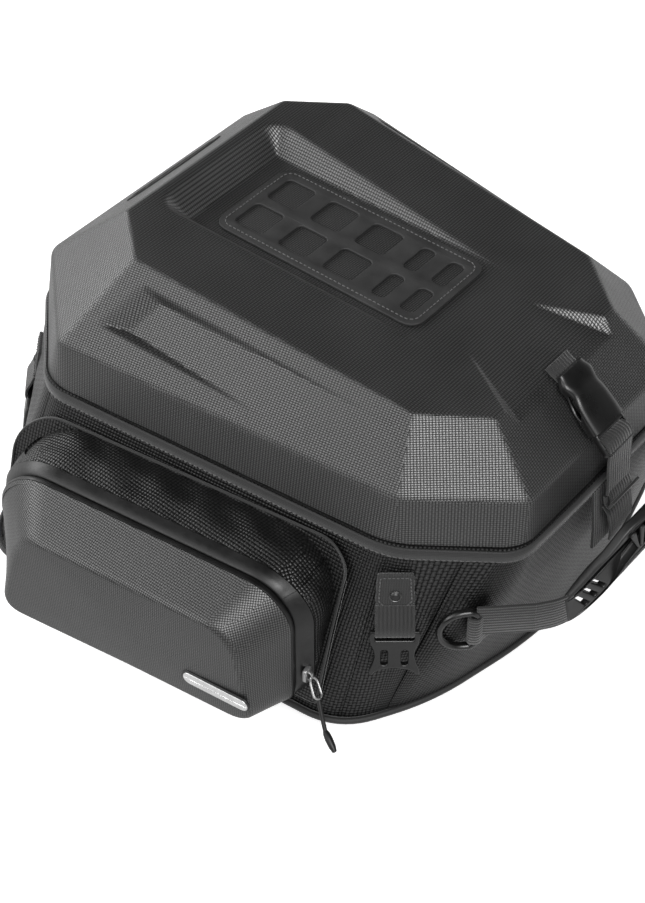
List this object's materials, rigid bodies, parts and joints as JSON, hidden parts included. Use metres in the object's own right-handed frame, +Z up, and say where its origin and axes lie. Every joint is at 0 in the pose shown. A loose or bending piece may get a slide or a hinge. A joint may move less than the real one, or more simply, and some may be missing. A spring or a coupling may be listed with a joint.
{
  "type": "motorcycle tail bag",
  "caption": "Hard-lid motorcycle tail bag with a faceted moulded lid, a moulded side pocket, a front carrying handle, D-rings and side-release strap buckles.",
  "frame": {"origin": "centre of the flat base, on the seat plane", "axes": "+X towards the front end of the bag, +Y to its left, +Z up"},
  "size_m": [0.4327, 0.4582, 0.215],
  "materials": {
    "coarse_weave": "coarse ballistic weave, slight sheen",
    "moulded_fabric": "fine woven fabric laminated on moulded foam",
    "tape": "grosgrain binding and coated zip tape",
    "webbing": "ribbed polyester webbing",
    "lining": "smooth lining cloth",
    "board": "polyethylene sheet",
    "non_slip": "matt coated",
    "buckle_plastic": "satin moulded",
    "patch_rubber": "soft matt",
    "grip_rubber": "soft satin",
    "zip_metal": "plated, satin",
    "bright_metal": "bright, blank",
    "reflector": "grey retro-reflective insert"
  },
  "bodies": {
    "body": {"base_skin": "non_slip", "base_board": "board", "front_panel": "coarse_weave", "rear_panel": "coarse_weave", "side_panel_right": "coarse_weave", "side_panel_left": "coarse_weave", "corner_panel_front_right": "coarse_weave", "corner_panel_front_left": "coarse_weave", "corner_panel_rear_right": "coarse_weave", "corner_panel_rear_left": "coarse_weave", "inner_lining": "lining", "rim_binding": "tape", "main_zip_lower": "tape", "body_hinge_tape": "tape", "corner_tabs": "webbing", "corner_rivets": "zip_metal", "buckle_loops": "webbing", "d_ring_loops": "webbing", "handle_anchors": "webbing", "front_strap_anchor": "webbing", "pocket_backing": "coarse_weave", "pocket_gusset": "coarse_weave", "pocket_zip_gusset": "tape"},
    "lid": {"lid_shell": "moulded_fabric", "lid_lining": "lining", "lid_hinge_tape": "tape", "main_zip_upper": "tape", "top_patch": "patch_rubber", "rear_reflector": "reflector", "front_strap_patch": "webbing", "front_buckle_female": "buckle_plastic"},
    "strap_end": {"front_buckle_male": "buckle_plastic", "front_strap_webbing": "webbing"},
    "handle": {"handle_webbing": "webbing", "handle_grip": "grip_rubber"},
    "pocket_cover": {"pocket_cover": "moulded_fabric", "pocket_zip_cover": "tape", "pocket_nameplate": "bright_metal"},
    "pocket_slider": {"pocket_slider": "zip_metal"},
    "pocket_pull": {"pocket_pull": "grip_rubber"},
    "d_ring_right": {"d_ring_right": "buckle_plastic"},
    "strap_buckle_front_right": {"buckle_front_right": "buckle_plastic"},
    "strap_buckle_rear_right": {"buckle_rear_right": "buckle_plastic"},
    "d_ring_left": {"d_ring_left": "buckle_plastic"},
    "strap_buckle_front_left": {"buckle_front_left": "buckle_plastic"},
    "strap_buckle_rear_left": {"buckle_rear_left": "buckle_plastic"},
    "main_slider_front": {"main_slider_front": "zip_metal"},
    "main_pull_front": {"main_pull_front": "grip_rubber"},
    "main_slider_rear": {"main_slider_rear": "zip_metal"},
    "main_pull_rear": {"main_pull_rear": "grip_rubber"}
  },
  "joints": [
    {"name": "lid_hinge", "type": "hinge", "parent": "body", "child": "lid", "pos_m": [-0.192, 0, 0.13532], "axis": [0, -1, 0], "range_deg": [0, 100]},
    {"name": "front_buckle_release", "type": "slide", "parent": "lid", "child": "strap_end", "axis": [0.7184, 0, -0.6956], "range_m": [0, 0.026]},
    {"name": "handle_swing", "type": "hinge", "parent": "body", "child": "handle", "pos_m": [0.2016, 0, 0.078], "axis": [0, -1, 0], "range_deg": [-60, 10]},
    {"name": "pocket_cover_hinge", "type": "hinge", "parent": "body", "child": "pocket_cover", "pos_m": [0.00617, -0.20021, 0.008], "axis": [0.9915, 0.1304, 0], "range_deg": [0, 55]},
    {"name": "pocket_slider_travel", "type": "slide", "parent": "body", "child": "pocket_slider", "axis": [0, 0, 1], "range_m": [0, 0.05]},
    {"name": "pocket_pull_swing", "type": "hinge", "parent": "pocket_slider", "child": "pocket_pull", "pos_m": [0.10629, -0.1869, 0.041], "axis": [0.1304, -0.9915, 0], "range_deg": [0, 120]},
    {"name": "d_ring_right_swing", "type": "hinge", "parent": "body", "child": "d_ring_right", "pos_m": [0.17624, -0.11131, 0.071], "axis": [0, 0, 1], "range_deg": [0, 80]},
    {"name": "strap_buckle_front_right_swing", "type": "hinge", "parent": "body", "child": "strap_buckle_front_right", "pos_m": [0.14023, -0.14467, 0.07268], "axis": [-0.7707, -0.6372, 0], "range_deg": [0, 50]},
    {"name": "strap_buckle_rear_right_swing", "type": "hinge", "parent": "body", "child": "strap_buckle_rear_right", "pos_m": [-0.18441, -0.12959, 0.07157], "axis": [-0.6654, 0.7465, 0], "range_deg": [0, 50]},
    {"name": "d_ring_left_swing", "type": "hinge", "parent": "body", "child": "d_ring_left", "pos_m": [0.17624, 0.11131, 0.071], "axis": [0, 0, -1], "range_deg": [0, 80]},
    {"name": "strap_buckle_front_left_swing", "type": "hinge", "parent": "body", "child": "strap_buckle_front_left", "pos_m": [0.14023, 0.14467, 0.07268], "axis": [0.7707, -0.6372, 0], "range_deg": [0, 50]},
    {"name": "strap_buckle_rear_left_swing", "type": "hinge", "parent": "body", "child": "strap_buckle_rear_left", "pos_m": [-0.18441, 0.12959, 0.07157], "axis": [0.6654, 0.7465, 0], "range_deg": [0, 50]},
    {"name": "main_slider_front_travel", "type": "slide", "parent": "body", "child": "main_slider_front", "axis": [0.9911, -0.1303, -0.0277], "range_m": [0, 0.095]},
    {"name": "main_pull_front_swing", "type": "hinge", "parent": "main_slider_front", "child": "main_pull_front", "pos_m": [0.00707, 0.15718, 0.1299], "axis": [0, 0, 1], "range_deg": [0, 90]},
    {"name": "main_slider_rear_travel", "type": "slide", "parent": "body", "child": "main_slider_rear", "axis": [-0.9911, 0.1303, 0.0277], "range_m": [0, 0.095]},
    {"name": "main_pull_rear_swing", "type": "hinge", "parent": "main_slider_rear", "child": "main_pull_rear", "pos_m": [-0.00582, 0.15887, 0.1299], "axis": [0, 0, -1], "range_deg": [0, 90]}
  ]
}
